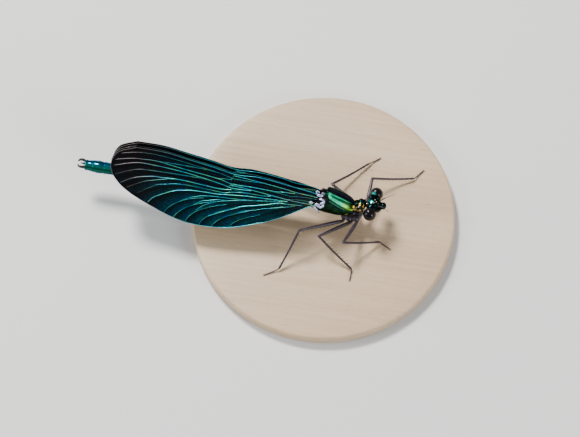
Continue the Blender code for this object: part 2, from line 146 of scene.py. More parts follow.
ABDOMEN_START = (-5.55, 0.7, 4.3)
ABDOMEN_END = (-39.9, 0.7, 3.6)
ABDOMEN_SAG = 0.25
SEGMENT_LENGTHS = (0.9, 2.0, 4.9, 5.5, 5.6, 5.2, 4.5, 2.7, 1.8, 1.1)
SEGMENT_WIDTHS = (1.5, 1.45, 1.2, 1.15, 1.15, 1.25, 1.45, 1.75, 1.95, 1.6)
SEGMENT_HEIGHT = 1.04
SEGMENT_SIDES = 40
# A keel along the top, and a seam low on each side
KEEL_HEIGHT = 0.018
KEEL_WIDTH = 0.1
SEAM_DEPTH = 0.03
SEAM_LEVEL = -0.55
SEAM_WIDTH = 0.08
# Left tail hooks, from the abdomen's end: course, radii and number of teeth
TAIL_HOOKS = {
    "cercus": (((0.3, 0.36, 0.3), (-0.1, 0.46, 0.36), (-0.35, 0.58, 0.41), (-0.65, 0.62, 0.42),
                (-0.9, 0.55, 0.4), (-1.07, 0.4, 0.37), (-1.14, 0.24, 0.34)),
               (0.2, 0.2, 0.22, 0.22, 0.2, 0.15, 0.07), 6),
    "paraproct": (((0.3, 0.3, -0.34), (-0.2, 0.34, -0.4), (-0.55, 0.37, -0.42), (-0.9, 0.34, -0.38)),
                  (0.2, 0.17, 0.12, 0.05), 0),
}

WING_LEAN = math.radians(45.0)
WING_CHORD = (0, math.cos(WING_LEAN), math.sin(WING_LEAN))
WING_FACE = (0, -math.sin(WING_LEAN), math.cos(WING_LEAN))
WING_RAKE = math.radians(7.5)
WING_PITCH = 1.0
WING_STACK_ROOT = (-3.7, -1.143, 8.697)
WING_JOIN = 5.0
ROOT_TOP = 0.45
ROOT_CHORD = 1.3
FORE_ROOT_X = -3.5
HIND_ROOT_X = -4.9
HIND_WING_SCALE = 0.96
WING_ROOTS = {
    "wing_fore_right": (0, (FORE_ROOT_X, -0.55, 8.15), 1.0),
    "wing_hind_right": (1, (HIND_ROOT_X, -0.40, 7.10), HIND_WING_SCALE),
    "wing_fore_left": (2, (FORE_ROOT_X, 1.25, 7.60), 1.0),
    "wing_hind_left": (3, (HIND_ROOT_X, 1.30, 6.60), HIND_WING_SCALE),
}
WING_RIM = ((28.7, 0.05), (31.3, -1.6), (31.7, -4.2), (29.6, -6.5), (25.4, -8.2), (18.8, -9.4), (12.5, -8.45),
            (7.1, -5.9))
# Guides for the membrane from front edge to rear edge, each from the root towards the rim
GUIDES = (
    ((0, 0.45), (3.2, 0.9), (6.4, 1.0), (9.9, 0.85), (13.3, 0.27), (16.8, 0.45), (20.5, 0.56), (24.5, 0.6),
     (28.7, 0.05)),
    ((0, 0.28), (4, 0.22), (8.5, 0.22), (12.6, 0.0), (16.5, -0.12), (21, -0.05), (25.5, -0.12), (28.5, -0.6),
     (30.4, -1.1)),
    ((0, 0.1), (4, -0.1), (8.3, -0.66), (11, -0.92), (13.4, -1.28), (17, -1.2), (21.5, -1.13), (25.5, -1.2),
     (28.7, -1.75), (31.4, -2.7)),
    ((0, -0.08), (3, -0.45), (6.3, -1.05), (10.1, -1.4), (13.3, -1.85), (17, -1.78), (21, -1.75), (25, -2.0),
     (28.6, -2.85), (31.6, -4.2)),
    ((0, -0.2), (3.2, -0.85), (7, -1.5), (10.5, -1.85), (13.8, -2.32), (17, -2.38), (20, -2.4), (23.8, -2.8),
     (27.5, -3.8), (31.0, -5.5)),
    ((0, -0.3), (3.2, -1.1), (7, -1.85), (11, -2.35), (14.5, -2.8), (18.4, -2.98), (22, -3.3), (25, -3.95),
     (27.6, -5.0), (29.7, -6.4)),
    ((0, -0.4), (3, -1.3), (6, -2.0), (9.8, -2.65), (13.5, -3.15), (17.6, -3.52), (20.8, -4.0), (23.5, -4.9),
     (25.7, -6.1), (27.4, -7.4)),
    ((0, -0.48), (3, -1.42), (6.5, -2.3), (10.5, -3.05), (14.6, -3.65), (18.1, -4.15), (20.8, -4.95),
     (22.8, -6.0), (24.4, -7.3), (25.2, -8.3)),
    ((0, -0.55), (3, -1.52), (7, -2.6), (11, -3.45), (14.5, -4.1), (17.2, -4.9), (19.4, -5.85), (21, -7.0),
     (21.9, -8.1), (22.3, -8.95)),
    ((0, -0.6), (3.3, -1.7), (8.0, -3.0), (12, -3.95), (15.3, -4.95), (17.7, -6.1), (19.3, -7.25),
     (20.2, -8.4), (20.6, -9.2)),
    ((0, -0.65), (3.3, -1.8), (7, -2.9), (10.9, -3.95), (13.6, -4.9), (15.9, -6.05), (17.5, -7.2),
     (18.4, -8.3), (18.8, -9.35)),
    ((0, -0.7), (3.3, -1.9), (6.7, -3.05), (9.8, -4.15), (12.4, -5.25), (14.3, -6.3), (15.6, -7.35),
     (16.3, -8.3), (16.6, -9.2)),
    ((0, -0.74), (3.3, -2.05), (6.3, -3.25), (9.0, -4.45), (11.2, -5.55), (12.8, -6.55), (13.8, -7.4),
     (14.4, -8.2), (14.7, -8.9)),
    ((0, -0.78), (3.1, -2.25), (5.7, -3.6), (7.8, -4.75), (9.5, -5.7), (10.7, -6.5), (11.5, -7.2),
     (11.9, -7.8), (12.2, -8.35)),
    ((0, -0.82), (2.8, -2.45), (5, -3.95), (6.6, -5.0), (7.9, -5.75), (8.8, -6.3), (9.4, -6.7), (9.7, -7.0),
     (9.9, -7.3)),
    ((0, -0.85), (1.8, -2.1), (3.55, -3.37), (5.3, -4.64), (7.1, -5.9)),
)
ROWS_A_COURSE = 8
HALF_COURSE = ROWS_A_COURSE // 2
VEIN_STEPS = 84
RIM_STEPS = 400
MEMBRANE_HALF = 0.02
PLEAT = 0.015
WAVE_HEIGHT = 0.07
# The fine net: rows between its veins, the room it needs, the bars' spacing and least length
NET_ROWS = 4
NET_ROOM = 0.6
CROSS_VEIN_SPACING = 0.46
CROSS_VEIN_LEAST = 0.12
# Radii of the wing's tubes
STRONG_RADIUS = 0.062
WEAK_RADIUS = 0.053
FAN_RADIUS = 0.037
NET_RADIUS = 0.03
FRONT_RADIUS = 0.056
REAR_RADIUS = 0.052
RIM_RADII = (0.045, 0.04, 0.055)
# Veins that shine and veins that shine less; their brightness is painted glint
STRONG_VEINS = (
    ((0.45, 0.05), (3.0, 0.15), (5.2, 0.3), (8.0, 0.25), (11.0, 0.15), (13.2, 0.03)),
    ((3.8, 0.0), (5.5, -0.25), (6.8, -0.55), (8.5, -0.72), (10.5, -0.95), (13.4, -1.35), (15.5, -1.15),
     (21.0, -1.15), (25.0, -1.12), (27.0, -1.4), (29.0, -1.85), (31.3, -2.75)),
    ((0.9, -1.35), (4.0, -1.28), (8.0, -1.32), (11.5, -1.45), (13.4, -1.6)),
    ((10.3, -1.5), (12.3, -1.9), (13.5, -2.0), (15.0, -1.85), (20.0, -1.65), (23.0, -1.72), (25.0, -1.85),
     (28.0, -2.25), (31.3, -3.7)),
    ((13.3, -2.25), (14.5, -2.6), (16.0, -2.75), (20.0, -2.95), (22.0, -3.15), (24.0, -3.5), (25.5, -3.8),
     (28.0, -4.8), (29.7, -6.1)),
    ((4.6, -1.55), (8.0, -2.1), (11.4, -2.7), (15.2, -3.6), (19.0, -4.2), (21.5, -5.05), (23.0, -6.0),
     (24.3, -7.0), (25.0, -8.1)),
    ((2.3, -1.75), (4.0, -1.95), (5.7, -2.2), (8.0, -3.2), (11.0, -4.4), (12.6, -5.4), (14.2, -6.45),
     (15.5, -7.4)),
)
WEAK_VEINS = (
    ((9.0, 0.2), (10.0, 0.0), (12.0, -0.3), (13.3, -0.45), (14.3, -0.35), (15.7, -0.2), (18.0, -0.1),
     (24.0, -0.05), (27.8, -0.5), (30.7, -1.5)),
    ((15.7, -0.2), (17.2, -0.22), (18.5, -0.3), (20.0, -0.45), (23.0, -0.8), (24.5, -1.0), (26.2, -1.25)),
    ((0.5, -0.25), (3.0, -0.38), (4.5, -0.6), (6.8, -0.6)),
    ((0.6, -0.9), (3.4, -0.95), (4.6, -1.25)),
    ((13.55, -0.5), (13.8, -0.75), (15.0, -0.95), (15.8, -1.13)),
    ((17.0, -1.76), (18.2, -1.84), (19.0, -1.95), (21.0, -2.2), (23.0, -2.45), (26.0, -2.9), (28.0, -3.4),
     (30.8, -5.0)),
    ((22.0, -3.18), (23.0, -3.5), (24.0, -3.9), (25.7, -4.6), (27.2, -5.5), (28.6, -6.6)),
    ((9.6, -1.95), (11.0, -2.15), (12.6, -2.5), (13.6, -2.85), (14.3, -3.1), (17.3, -3.35), (20.0, -3.6),
     (21.5, -3.87), (23.0, -4.4), (24.5, -5.0), (26.9, -7.1)),
    ((6.9, -1.3), (8.2, -1.75), (10.0, -1.97), (11.6, -2.12), (13.3, -2.25)),
    ((5.0, -1.65), (6.2, -2.1), (7.0, -2.3), (8.5, -2.65), (12.0, -3.7), (14.3, -4.55), (15.5, -5.2),
     (16.7, -6.0), (17.6, -7.1)),
    ((9.3, -2.9), (11.0, -3.25), (12.5, -3.6), (15.0, -4.0), (17.0, -4.5), (18.0, -4.9), (19.3, -5.6),
     (20.7, -6.8)),
    ((13.4, -4.2), (14.9, -4.45), (16.3, -5.05), (17.0, -5.3), (18.2, -6.4)),
    ((3.3, -2.05), (5.2, -2.75), (7.0, -3.5), (8.0, -3.9), (9.0, -4.4), (10.0, -4.8), (11.3, -5.5)),
    ((13.3, 0.24), (13.5, -0.25)),
    ((13.4, -1.3), (13.7, -1.95)),
)
# Guides that show as pale arcs in the outer part of the fan
FAN_GUIDES = range(8, 14)
FAN_ARC = -4.9
HIND_LEVELS = (1, 3)
# The far fore wing's front edge starts lower than the near one's
FAR_FORE_LEVEL = 2
FAR_EDGE_DROP = 0.7
FAR_EDGE_REACH = 6.0

# Legs: hip, end of the trochanter, knee, end of the shin, tip of the foot
LEG_POINTS = {
    "front_right": ((2.6, 0.4, 3.15), (2.25, -1.2, 2.6), (0.9, -5.4, 4.2), (6.15, -2.75, 0.8),
                    (7.75, -3.5, 0.5)),
    "front_left": ((2.6, 1.3, 3.15), (3.3, 2.8, 2.8), (3.4, 6.4, 2.8), (9.55, 8.5, 0.8), (10.65, 10.05, 0.5)),
    "mid_right": ((1.55, 0.2, 2.95), (1.4, -1.1, 2.4), (-2.95, -4.75, 3.6), (2.7, -7.9, 0.8),
                  (2.7, -9.5, 0.5)),
    "mid_left": ((1.55, 1.2, 2.95), (1.3, 2.1, 2.4), (-2.5, 4.65, 2.3), (2.4, 9.8, 0.8), (3.8, 10.95, 0.5)),
    "hind_right": ((0.5, 0.2, 2.95), (0.1, -1.15, 2.4), (-5.95, -4.75, 4.6), (-8.2, -9.8, 0.8),
                   (-10.1, -10.95, 0.5)),
    "hind_left": ((0.5, 1.2, 2.95), (-0.3, 2.2, 2.4), (-6.0, 2.6, 4.0), (-12.3, 2.6, 0.8), (-14.3, 2.9, 0.5)),
}
ANKLE_HEIGHT = 0.42
TOE_HEIGHT = 0.1
SHIN_BOW = 0.25
LEG_PIECES = ("coxa", "femur", "tibia", "tarsus")

# The photograph's view: pixels, pixels a millimetre, the animal's origin, the camera's turn and height,
# its distance in metres and its sensor in millimetres
PHOTO_SIZE = (580, 437)
PHOTO_SCALE = 6.57
PHOTO_FOOT = (343.0, 220.1)
CAMERA_TURN = 10.0
CAMERA_HEIGHT = 67.0
CAMERA_AWAY = 0.9
SENSOR_WIDTH = 36.0

# The floor, in metres, and the sky
FLOOR_SIZE = 4.0
FLOOR_DROP = 0.00002
SKY_COLOUR = (0.9, 0.95, 1.0, 1.0)
SKY_STRENGTH = 0.32
# Soft lights, in metres: place, size, power and tint, all turned to one spot
LIGHT_AIM = (0.0, 0.0, 0.005)
SOFTBOXES = (
    ("key", (-0.28, 0.30, 0.55), 0.18, 7.0, (1.0, 0.98, 0.95)),
    ("fill", (0.50, -0.28, 0.28), 0.32, 2.4, (0.93, 0.97, 1.0)),
    ("back", (-0.5, -0.15, 0.3), 0.35, 2.0, (1.0, 1.0, 1.0)),
)
WING_SEED = 20
LEG_SEED = 40

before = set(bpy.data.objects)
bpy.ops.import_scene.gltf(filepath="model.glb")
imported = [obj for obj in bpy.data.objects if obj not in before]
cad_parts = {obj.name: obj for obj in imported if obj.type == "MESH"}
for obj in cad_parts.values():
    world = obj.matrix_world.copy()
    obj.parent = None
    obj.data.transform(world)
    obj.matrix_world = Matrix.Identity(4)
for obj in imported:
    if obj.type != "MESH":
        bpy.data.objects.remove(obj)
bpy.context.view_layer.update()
BASE_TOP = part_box("stand_base")[1][2] / MM


def at(point):
    return ((point[0] + BASE_AHEAD) * MM, point[1] * MM, (point[2] + BASE_TOP) * MM)


# Materials

class Paint:
    """One material, built node by node; every call gives the new node's output."""

    def __init__(self, name):
        self.material = bpy.data.materials.new(name)
        self.material.use_nodes = True
        self.tree = self.material.node_tree
        self.shader = self.tree.nodes["Principled BSDF"]
        place = self.node("TexCoord", {}).outputs["Object"]
        self.spot = self.node("VectorMath", {0: place, "Scale": 1.0 / MM}, operation="SCALE").outputs[0]

    def put(self, socket, value):
        if hasattr(value, "is_linked"):
            self.tree.links.new(value, socket)
        else:
            socket.default_value = (*value, 1.0) if socket.type == "RGBA" else value

    def node(self, kind, inputs, **settings):
        """A new node; each of its inputs is a number, a colour or another node's output."""
        node = self.tree.nodes.new("ShaderNode" + kind)
        for name, value in settings.items():
            setattr(node, name, value)
        for place, value in inputs.items():
            self.put(node.inputs[place], value)
        return node

    def vector_math(self, operation, first, second):
        node = self.node("VectorMath", {0: first, 1: second}, operation=operation)
        return node.outputs["Value" if operation in ("DOT_PRODUCT", "DISTANCE") else 0]

    def math(self, operation, first, second=0.0, clamp=False):
        return self.node("Math", {0: first, 1: second}, operation=operation, use_clamp=clamp).outputs[0]

    def noise(self, scale, detail=3.0, stretch=None):
        vector = self.vector_math("MULTIPLY", self.spot, stretch) if stretch else self.spot
        return self.node("TexNoise", {"Vector": vector, "Scale": scale, "Detail": detail}).outputs["Fac"]

    def voronoi(self, scale):
        return self.node("TexVoronoi", {"Vector": self.spot, "Scale": scale}).outputs

    def cells(self, scale):
        return self.voronoi(scale)["Distance"]

    def tones(self, scale):
        """One random tone to each cell."""
        return self.vector_math("DOT_PRODUCT", self.voronoi(scale)["Color"], (0.33, 0.33, 0.33))

    def attribute(self, name):
        return self.node("Attribute", {}, attribute_name=name).outputs["Fac"]

    def ramp(self, factor, stops):
        node = self.node("ValToRGB", {0: factor})
        band = node.color_ramp
        while len(band.elements) < len(stops):
            band.elements.new(1.0)
        for element, (place, colour) in zip(band.elements, stops):
            element.position = place
            element.color = (*colour, 1.0)
        return node.outputs[0]

    def span(self, value, low, high, to_low=0.0, to_high=1.0):
        """The value's way from low to high, as one from to_low to to_high."""
        inputs = {"Value": value, "From Min": low, "From Max": high, "To Min": to_low, "To Max": to_high}
        return self.node("MapRange", inputs).outputs[0]

    def mix(self, factor, first, second):
        return self.node("Mix", {"Factor": factor, 6: first, 7: second}, data_type="RGBA").outputs[2]

    def axis(self, name):
        return self.node("SeparateXYZ", {0: self.spot}).outputs[name]

    def near(self, spot, reach, core):
        """1 within the core of a spot, falling to 0 at its reach."""
        return self.span(self.vector_math("DISTANCE", self.spot, Vector(at(spot)) / MM), reach, core)

    def facing(self, direction):
        """How far the surface faces a fixed direction of the model, from -1 to 1."""
        return self.vector_math("DOT_PRODUCT", self.node("NewGeometry", {}).outputs["Normal"], direction)

    def bump(self, height, depth, strength, after=None):
        inputs = {"Height": height, "Distance": depth * MM, "Strength": strength}
        if after is not None:
            inputs["Normal"] = after
        return self.node("Bump", inputs).outputs[0]

    def finish(self, colour, roughness, metallic=0.0, bump=None, coat=0.0, coat_rough=0.05, edge=None,
               shine=0.5):
        inputs = {"Base Color": colour, "Roughness": roughness, "Metallic": metallic, "Coat Weight": coat,
                  "Coat Roughness": coat_rough, "Specular IOR Level": shine}
        if edge is not None:
            inputs["Specular Tint"] = edge
        if bump is not None:
            inputs["Normal"] = bump
        for place, value in inputs.items():
            self.put(self.shader.inputs[place], value)
        return self.material


def metal_skin(name, deep, bright, edge, punctures, dark_lines=None, tint=None, pits=0.35):
    """Metallic green cuticle: patches of two greens, fine pits and a blue edge sheen."""
    paint = Paint(name)
    patches = paint.span(paint.noise(0.8, 4.0), 0.35, 0.65)
    colour = paint.mix(patches, deep, bright)
    if tint is not None:
        colour = tint(paint, colour)
    if dark_lines is not None:
        colour = paint.mix(dark_lines(paint), colour, (0.004, 0.012, 0.012))
    bump = paint.bump(paint.cells(punctures), 0.006, pits)
    bump = paint.bump(paint.noise(16.0), 0.006, pits, bump)
    roughness = paint.span(paint.noise(3.0), 0.3, 0.7, 0.15, 0.27)
    return paint.finish(colour, roughness, 1.0, bump, 0.1, 0.1, edge)


def skew_depth(paint):
    """Distance from the ridge of the thorax, square to it, down and back."""
    away = (-math.sin(THORAX_SLOPE), 0.0, -math.cos(THORAX_SLOPE))
    start = (RIDGE_START[0] + BASE_AHEAD) * away[0] + (RIDGE_START[1] + BASE_TOP) * away[2]
    return paint.math("SUBTRACT", paint.vector_math("DOT_PRODUCT", paint.spot, away), start)


def thorax_lines(paint):
    depth = skew_depth(paint)
    total = None
    for place in SUTURES:
        gap = paint.math("ABSOLUTE", paint.math("SUBTRACT", depth, place))
        line = paint.span(gap, 0.035, 0.1, 1.0, 0.0)
        total = line if total is None else paint.math("MAXIMUM", total, line)
    return total


def thorax_tint_and_painted_shade(paint, colour):
    """Navy teal to the left of the ridge and dark below the first suture, both painted shade; yellow green
    low at the front.
    """
    # Painted shade: the left slope turned navy teal
    left = paint.span(paint.axis("Y"), BODY_Y + 0.02, BODY_Y + 0.12)
    colour = paint.mix(left, colour, (0.0, 0.006, 0.012))
    ahead = paint.span(paint.axis("X"), 2.6, 4.4)
    front = paint.math("MULTIPLY", ahead, paint.span(paint.axis("Y"), 0.7, -0.5))
    colour = paint.mix(front, colour, (0.30, 0.62, 0.02))
    # Painted shade: the side below the first suture darkened, in patches
    side = paint.span(skew_depth(paint), SUTURES[0] - 0.05, SUTURES[0] + 0.1)
    patches = paint.span(paint.noise(1.1), 0.4, 0.62)
    dark = paint.mix(patches, (0.001, 0.014, 0.010), (0.004, 0.04, 0.012))
    colour = paint.mix(side, colour, dark)
    return paint.mix(paint.near(GOLD_SPOT, 0.32, 0.16), colour, (0.75, 0.55, 0.06))


def abdomen_colour_sheen_and_shade(paint, colour):
    """By which way the surface faces: navy along the upper left, teal along the middle, green below it and
    black underneath. The bright teal along the middle is a painted highlight, and the darker navy above and
    the black underneath are painted shade.
    """
    turn = paint.span(paint.facing((0.0, 0.918, 0.396)), -1.0, 1.0)
    stops = ((0.14, (0.002, 0.006, 0.005)), (0.3, (0.0, 0.16, 0.07)), (0.48, (0.0, 0.4, 0.33)),
             (0.7, (0.0, 0.18, 0.36)), (0.9, (0.0, 0.02, 0.1)))
    # Painted shade: black underneath
    painted_underside_shade = paint.span(paint.facing((0.0, 0.0, 1.0)), 0.05, -0.25)
    return paint.mix(painted_underside_shade, paint.mix(0.8, colour, paint.ramp(turn, stops)), (0.002, 0.005, 0.005))


def prothorax_painted_glints(paint, colour):
    """Painted glints: gold and a few pale flecks on black green."""
    colour = paint.mix(paint.span(paint.tones(2.8), 0.63, 0.67), colour, (0.55, 0.34, 0.05))
    return paint.mix(paint.span(paint.tones(3.7), 0.3, 0.26), colour, (0.34, 0.38, 0.42))


def head_painted_reflection(paint, colour):
    """A painted reflection: a teal patch behind the left eye."""
    return paint.mix(paint.near(HEAD_REFLECTION_SPOT, 0.45, 0.2), colour, (0.0, 0.28, 0.25))


def black_skin(name, colour, light, shine=0.35, coat=0.12):
    """Rough dark cuticle with a little gloss."""
    paint = Paint(name)
    shade = paint.mix(paint.noise(3.0), colour, light)
    bump = paint.bump(paint.noise(16.0, 4.0), 0.012, 0.6)
    roughness = paint.span(paint.noise(5.0), 0.3, 0.7, 0.28, 0.45)
    return paint.finish(shade, roughness, 0.0, bump, coat, 0.2, shine=shine)


def eye_skin():
    """Near black with fine facets, and a painted reflection: a teal patch on the left eye."""
    paint = Paint("compound_eye")
    band = paint.span(paint.axis("Z"), 6.6, 8.0)
    colour = paint.mix(band, (0.012, 0.002, 0.004), (0.003, 0.002, 0.003))
    # Painted reflection: a teal patch on the left eye
    colour = paint.mix(paint.near(EYE_REFLECTION_SPOT, 0.62, 0.4), colour, (0.0, 0.24, 0.22))
    bump = paint.bump(paint.cells(26.0), 0.01, 0.1)
    return paint.finish(colour, 0.2, 0.0, bump, 0.03, 0.06, shine=0.22)


def wing_skin():
    """Black and navy, dark teal in the fan with brighter bands, which are a painted reflection on one side of
    each pleat, and browner towards the tip.
    """
    paint = Paint("wing_membrane")
    patches = paint.noise(0.4)
    dark = paint.mix(paint.span(patches, 0.4, 0.62), (0.001, 0.005, 0.010), (0.001, 0.003, 0.016))
    colour = paint.mix(paint.attribute("fan"), dark, (0.0, 0.014, 0.020))
    blue = paint.mix(paint.span(paint.noise(0.8), 0.4, 0.65), (0.0, 0.07, 0.17), (0.0, 0.12, 0.135))
    grain = paint.span(paint.tones(4.0), 0.15, 0.9, 0.2, 1.25)
    # Painted reflection: brighter blue bands, uneven from cell to cell
    colour = paint.mix(paint.math("MULTIPLY", paint.attribute("band"), grain, True), colour, blue)
    tip = paint.span(paint.axis("X"), -21.0, -28.5)
    colour = paint.mix(paint.math("MULTIPLY", tip, 0.8), colour, (0.008, 0.007, 0.007))
    bump = paint.bump(paint.noise(9.0, 4.0), 0.015, 0.6)
    roughness = paint.span(paint.noise(4.0), 0.3, 0.7, 0.3, 0.44)
    return paint.finish(colour, roughness, 0.9, bump, 0.05, 0.3)


def vein_skin(name, strength):
    """Veins glint cyan and teal, blue in places, gold at the root and grey brown near the tip. The gold at
    the root is a painted glint, the beads are dimmer spots in it, and strength scales the colour, so brighter
    and dimmer copies of this paint stand for painted glint.
    """
    paint = Paint(name)

    def lit(*colour):
        return tuple(tone * strength for tone in colour)

    stops = ((0.3, lit(0.02, 0.3, 0.62)), (0.45, lit(0.02, 0.55, 0.68)), (0.58, lit(0.05, 0.72, 0.56)),
             (0.72, lit(0.16, 0.8, 0.42)))
    colour = paint.ramp(paint.noise(0.9, 4.0), stops)
    beads = paint.span(paint.noise(3.2, 2.0), 0.45, 0.62, 0.0, 0.22)
    colour = paint.mix(beads, colour, lit(0.0, 0.12, 0.14))
    along = paint.axis("X")
    # Painted glint: gold at the root, in patches
    root = paint.math("MULTIPLY", paint.span(along, -7.5, -1.5), paint.span(paint.noise(2.2), 0.42, 0.6))
    colour = paint.mix(root, colour, lit(0.42, 0.5, 0.10))
    colour = paint.mix(paint.span(along, -22.5, -28.5), colour, lit(0.12, 0.105, 0.11))
    bump = paint.bump(paint.noise(14.0), 0.02, 0.6)
    return paint.finish(colour, 0.28, 0.9, bump, 0.2, 0.2)


def edge_skin():
    """The wings' edges: cyan and sky blue from the root outwards, grey at the tip."""
    paint = Paint("edge_metal")
    hue = paint.span(paint.noise(0.8), 0.4, 0.6)
    colour = paint.mix(hue, (0.03, 0.42, 0.66), (0.03, 0.55, 0.58))
    tip = paint.span(paint.axis("X"), -18.0, -27.0)
    colour = paint.mix(tip, colour, (0.11, 0.095, 0.095))
    bump = paint.bump(paint.noise(12.0), 0.02, 0.6)
    return paint.finish(colour, 0.3, 0.85, bump, 0.3, 0.2)


def pale_plate_highlight_skin():
    """The pale blue and lilac plates at the wings' roots; their pale colour is partly a painted highlight."""
    paint = Paint("wing_base_plates")
    stops = ((0.35, (0.3, 0.42, 0.75)), (0.5, (0.62, 0.72, 0.95)), (0.65, (0.85, 0.8, 0.95)))
    colour = paint.ramp(paint.noise(2.2), stops)
    bump = paint.bump(paint.noise(10.0), 0.02, 0.5)
    return paint.finish(colour, 0.25, 0.7, bump, 0.5, 0.1)


def ocellus_skin():
    """Glassy amber."""
    paint = Paint("ocelli")
    shade = paint.mix(paint.noise(12.0), (0.55, 0.4, 0.22), (0.75, 0.62, 0.42))
    return paint.finish(shade, 0.08, 0.0, None, 1.0, 0.03)


def base_skin():
    """Pale maple under satin lacquer: long grain lines, wide bands and fine pores."""
    paint = Paint("base_wood")
    fibre = paint.noise(1.8, 5.0, (0.03, 1.0, 1.0))
    bands = paint.noise(0.16, 2.0, (0.12, 1.0, 1.0))
    blend = paint.math("ADD", paint.math("MULTIPLY", bands, 0.5), paint.math("MULTIPLY", fibre, 0.5))
    stops = ((0.3, (0.66, 0.50, 0.33)), (0.5, (0.60, 0.43, 0.27)), (0.75, (0.50, 0.34, 0.20)))
    colour = paint.ramp(blend, stops)
    dots = paint.span(paint.noise(7.0, 2.0, (0.08, 1.0, 1.0)), 0.62, 0.72)
    colour = paint.mix(paint.math("MULTIPLY", dots, 0.5), colour, (0.3, 0.19, 0.1))
    bump = paint.bump(fibre, 0.02, 0.4)
    return paint.finish(colour, paint.span(fibre, 0.3, 0.7, 0.34, 0.46), 0.0, bump, 0.25, 0.25)


def floor_skin():
    return Paint("floor").finish((0.78, 0.78, 0.77), 0.6)


# Meshes

class Shape:
    """Points and faces of one piece, gathered from simple forms."""

    def __init__(self):
        self.points = []
        self.faces = []

    def grid(self, rows, closed=False):
        """A sheet through rows of as many points each, open or closed round."""
        first = len(self.points)
        wide = len(rows[0])
        for row in rows:
            self.points.extend(tuple(point) for point in row)
        last = wide if closed else wide - 1
        for index in range(len(rows) - 1):
            for place in range(last):
                following = (place + 1) % wide
                a = first + index * wide
                b = a + wide
                self.faces.append((a + place, a + following, b + following, b + place))
        return first

    def rings(self, rings):
        """A closed body through rings."""
        first = self.grid(rings, True)
        wide = len(rings[0])
        last = first + wide * (len(rings) - 1)
        self.faces.append(tuple(range(first + wide - 1, first - 1, -1)))
        self.faces.append(tuple(range(last, last + wide)))

    def tube(self, points, radii, sides):
        spots = [Vector(point) for point in points]
        ways = [(b - a).normalized() for a, b in zip(spots, spots[1:])]
        side = UP.cross(ways[0])
        if side.length < 0.05:
            side = Vector(AXES[1])
        rings = []
        for index, spot in enumerate(spots):
            along = ways[min(index, len(ways) - 1)] + ways[max(index - 1, 0)]
            along.normalize()
            side = (side - along * side.dot(along)).normalized()
            rings.append(oval(spot, side, along.cross(side), radii[index], radii[index], sides))
        self.rings(rings)

    def strand(self, points, radius, end, sides=6):
        """A tube that narrows evenly to a share of its first radius."""
        self.tube(points.tolist(), (radius * np.linspace(1.0, end, len(points))).tolist(), sides)

    def ball(self, centre, axes, sizes, around, high):
        """An ovoid; the last of its three axes is the pole."""
        a, b, c = (Vector(axis) * size for axis, size in zip(axes, sizes))
        rings = []
        for level in range(1, high):
            tilt = math.pi * level / high - math.pi / 2
            ring_centre = Vector(centre) + c * math.sin(tilt)
            rings.append(oval(ring_centre, a, b, math.cos(tilt), math.cos(tilt), around))
        self.rings(rings)

    def piece(self, name, material, slot):
        mesh = bpy.data.meshes.new(name)
        mesh.from_pydata([at(point) for point in self.points], [], self.faces)
        mesh.validate()
        mesh.materials.append(material)
        mesh.shade_smooth()
        obj = bpy.data.objects.new(name, mesh)
        bpy.context.scene.collection.objects.link(obj)
        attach(obj, "root")
        return obj


def oval(centre, side, up, half_side, half_up, sides, squareness=2.0):
    points = []
    power = 2.0 / squareness
    for index in range(sides):
        angle = 2 * math.pi * (index + 0.5) / sides
        across = math.copysign(abs(math.cos(angle)) ** power, math.cos(angle))
        high = math.copysign(abs(math.sin(angle)) ** power, math.sin(angle))
        points.append(Vector(centre) + Vector(side) * across * half_side + Vector(up) * high * half_up)
    return points


def bell(distance, width):
    """A rounded bump's height, 1 in its middle, at a distance from it."""
    return math.exp(-((distance / width) ** 2))


def eased(share):
    """A share from 0 to 1 with a soft start and end."""
    return share * share * (3 - 2 * share)


def travelled(points):
    """How far along a line each of its points lies."""
    return np.concatenate(([0], np.cumsum(np.linalg.norm(np.diff(points, axis=0), axis=1))))


def mirrored(points, sign):
    """The points on one side: as given on the left, mirrored on the right."""
    return [(x, sign * y, z) for x, y, z in points]


def smooth_path(points, t):
    """A point on a smooth curve through given points, at a share t of its spans."""
    spans = len(points) - 1
    span = min(int(t * spans), spans - 1)
    u = t * spans - span
    p1, p2 = np.array(points[span]), np.array(points[span + 1])
    p0 = np.array(points[span - 1]) if span else p1 * 2 - p2
    p3 = np.array(points[span + 2]) if span + 2 <= spans else p2 * 2 - p1
    return ((p1 * 2) + (p2 - p0) * u + (p0 * 2 - p1 * 5 + p2 * 4 - p3) * u * u
            + (p1 * 3 - p0 - p2 * 3 + p3) * u ** 3) / 2


def smooth_rows(points, steps):
    """Points at even steps along the smooth curve, both ends among them."""
    return [smooth_path(points, step / steps) for step in range(steps + 1)]


# Head

def head_frame():
    yaw = Matrix.Rotation(math.radians(HEAD_YAW), 4, "Z")
    roll = Matrix.Rotation(math.radians(-HEAD_ROLL), 4, "X")
    return Matrix.Translation(Vector(HEAD_CENTRE)) @ yaw @ roll


def add_balls(shape, place, axes, balls):
    for signs, (ahead, side, up), sizes, counts in balls:
        for sign in signs:
            shape.ball(place @ Vector((ahead, sign * side, up)), axes, sizes, *counts)


